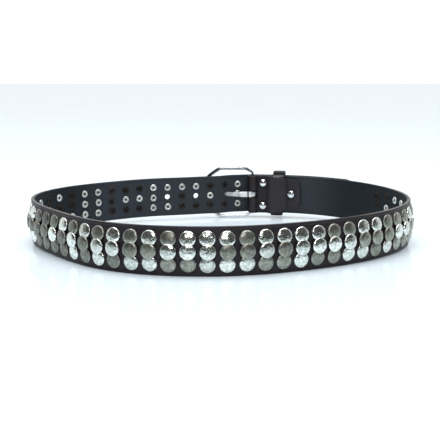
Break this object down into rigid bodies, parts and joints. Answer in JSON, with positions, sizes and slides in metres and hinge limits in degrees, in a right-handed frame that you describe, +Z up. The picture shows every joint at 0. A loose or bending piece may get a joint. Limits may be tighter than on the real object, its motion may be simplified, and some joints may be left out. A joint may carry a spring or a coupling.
{
  "type": "studded belt",
  "caption": "Leather belt with rows of domed metal studs, a pronged frame buckle, keeper loop and screwed tab, buckled in a loop and standing on its edge.",
  "frame": {"origin": "centre of the bounding box in plan, on the ground that the belt stands on", "axes": "+X to the right seen from the front, +Y from the front to the buckle in the back, +Z up"},
  "size_m": [0.3602, 0.2766, 0.055],
  "materials": {
    "leather": "smooth, lightly worn",
    "polished_steel": "polished"
  },
  "bodies": {
    "root": {"strap": "leather", "keeper": "leather", "buckle_frame": "polished_steel", "prong": "polished_steel", "screw_upper": "polished_steel", "screw_lower": "polished_steel", "screw_end": "polished_steel"}
  },
  "joints": []
}
